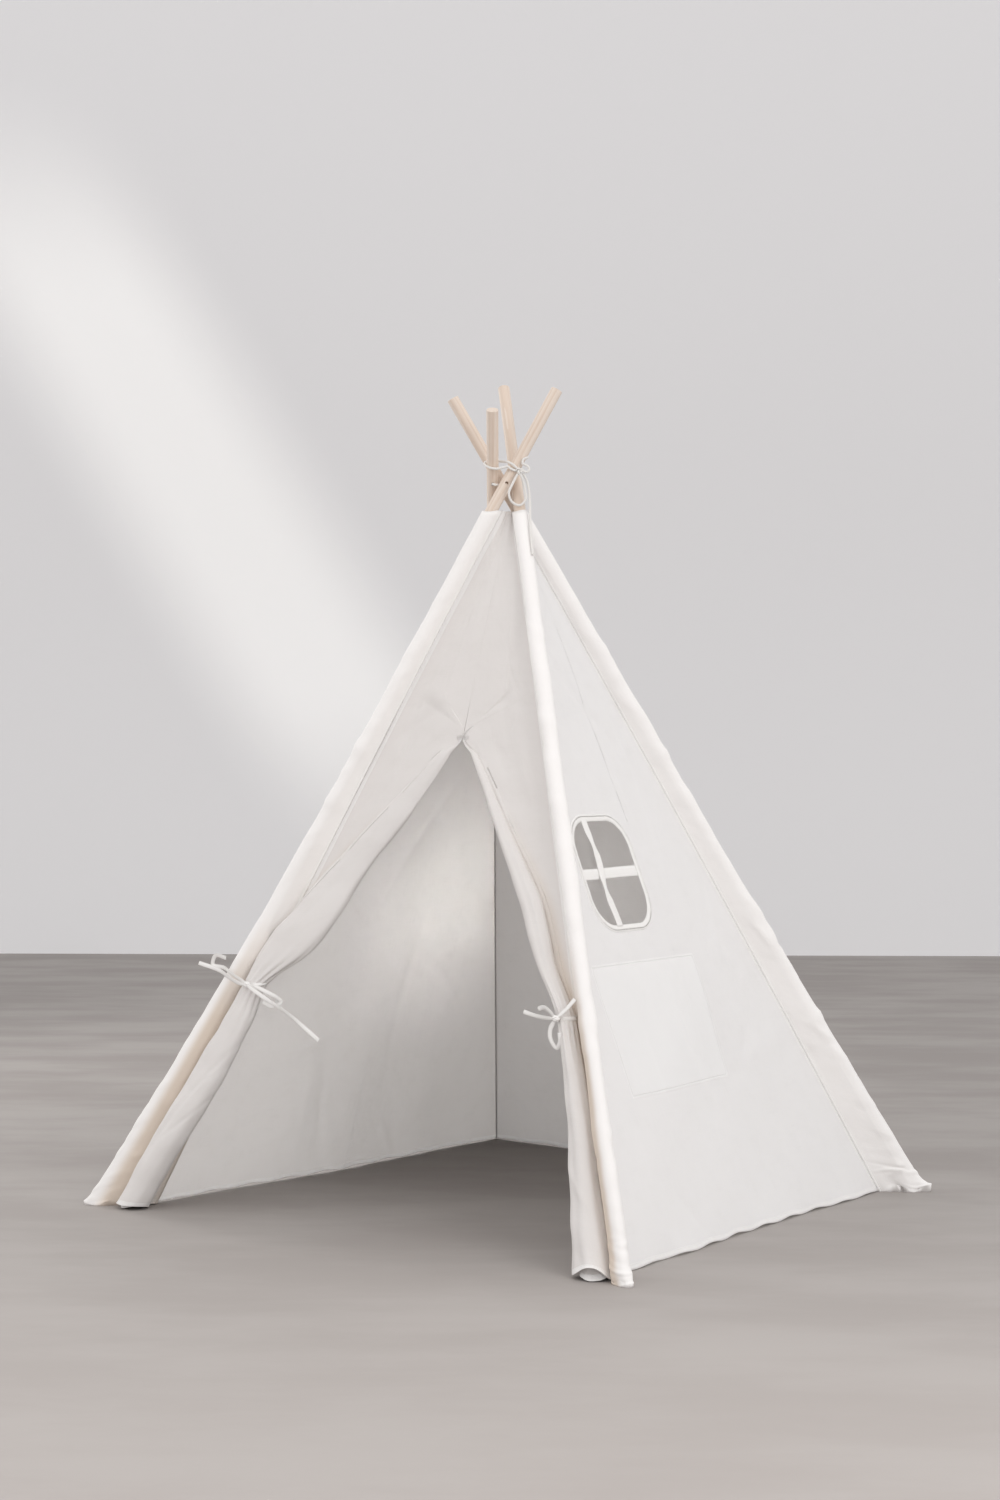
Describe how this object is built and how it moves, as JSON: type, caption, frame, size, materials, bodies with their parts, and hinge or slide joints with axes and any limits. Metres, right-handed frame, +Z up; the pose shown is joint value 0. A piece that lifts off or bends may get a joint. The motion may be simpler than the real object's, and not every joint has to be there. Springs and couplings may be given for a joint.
{
  "type": "kids teepee",
  "caption": "Children's play teepee: crossed wooden poles tied at the top, a sewn white canvas cover with tied-back door flaps, a window and an inner pocket.",
  "frame": {"origin": "on the floor, in the middle of the box round the four sleeve feet", "axes": "+Z up, the door towards -Y, the window in the panel towards +X"},
  "size_m": [1.2742, 1.2452, 1.6602],
  "materials": {
    "canvas": "plain woven unbleached-white cotton canvas, matt",
    "pine": "light natural pine, sanded, unvarnished",
    "galvanised_steel": "plain galvanised tube",
    "cotton_cord": "white cotton cord, tape and binding, matt"
  },
  "bodies": {
    "crown": {"cord_wrap": "cotton_cord", "cord_lacing": "cotton_cord", "cord_small_loop": "cotton_cord", "cord_large_loop": "cotton_cord", "cord_tail": "cotton_cord", "cord_knot": "cotton_cord"},
    "leg_front_left": {"pole_front_left_lower": "pine", "pole_front_left_upper": "pine", "ferrule_front_left": "galvanised_steel", "sleeve_front_left": "canvas", "front_panel": "canvas", "door_flap_left": "canvas", "tie_left_band": "cotton_cord", "tie_left_knot": "cotton_cord", "tie_left_upper_loop": "cotton_cord", "tie_left_upper_tail": "cotton_cord", "tie_left_lower_loop": "cotton_cord", "tie_left_lower_tail": "cotton_cord"},
    "leg_front_right": {"pole_front_right_lower": "pine", "pole_front_right_upper": "pine", "ferrule_front_right": "galvanised_steel", "sleeve_front_right": "canvas", "door_flap_right": "canvas", "tie_right_band": "cotton_cord", "tie_right_knot": "cotton_cord", "tie_right_upper_loop": "cotton_cord", "tie_right_upper_tail": "cotton_cord", "tie_right_lower_loop": "cotton_cord", "tie_right_seam_strap": "cotton_cord"},
    "leg_back_right": {"pole_back_right_lower": "pine", "pole_back_right_upper": "pine", "ferrule_back_right": "galvanised_steel", "sleeve_back_right": "canvas", "right_panel": "canvas", "window_binding": "cotton_cord", "window_tape_level": "cotton_cord", "window_tape_upright": "cotton_cord", "inner_pocket": "canvas"},
    "leg_back_left": {"pole_back_left_lower": "pine", "pole_back_left_upper": "pine", "ferrule_back_left": "galvanised_steel", "sleeve_back_left": "canvas", "back_panel": "canvas", "left_panel": "canvas"}
  },
  "joints": [
    {"name": "fold_front_left", "type": "hinge", "parent": "crown", "child": "leg_front_left", "pos_m": [-0.02994, -0.04793, 1.44], "axis": [0.7084, -0.7058, 0], "range_deg": [0, 22.71], "deforming": ["front_panel", "door_flap_left", "tie_left_band", "tie_left_knot", "tie_left_upper_loop", "tie_left_upper_tail", "tie_left_lower_loop", "tie_left_lower_tail"]},
    {"name": "fold_front_right", "type": "hinge", "parent": "crown", "child": "leg_front_right", "pos_m": [-0.03267, -0.01098, 1.44], "axis": [0.5967, 0.8025, 0], "range_deg": [0, 24.06], "deforming": ["door_flap_right", "tie_right_band", "tie_right_knot", "tie_right_upper_loop", "tie_right_upper_tail", "tie_right_lower_loop", "tie_right_seam_strap"]},
    {"name": "fold_back_right", "type": "hinge", "parent": "crown", "child": "leg_back_right", "pos_m": [-0.06473, -0.01343, 1.44], "axis": [-0.7118, 0.7024, 0], "range_deg": [0, 24.98], "deforming": ["right_panel", "window_binding", "window_tape_level", "window_tape_upright", "inner_pocket"]},
    {"name": "fold_back_left", "type": "hinge", "parent": "crown", "child": "leg_back_left", "pos_m": [-0.06598, -0.04649, 1.44], "axis": [-0.7627, -0.6468, 0], "range_deg": [0, 24.15], "deforming": ["back_panel", "left_panel", "cord_wrap", "cord_lacing"]}
  ],
  "couplings": [
    {"joint": "fold_front_right", "follows": "fold_front_left", "ratio": 1.0595},
    {"joint": "fold_back_right", "follows": "fold_front_left", "ratio": 1.1},
    {"joint": "fold_back_left", "follows": "fold_front_left", "ratio": 1.0634}
  ]
}
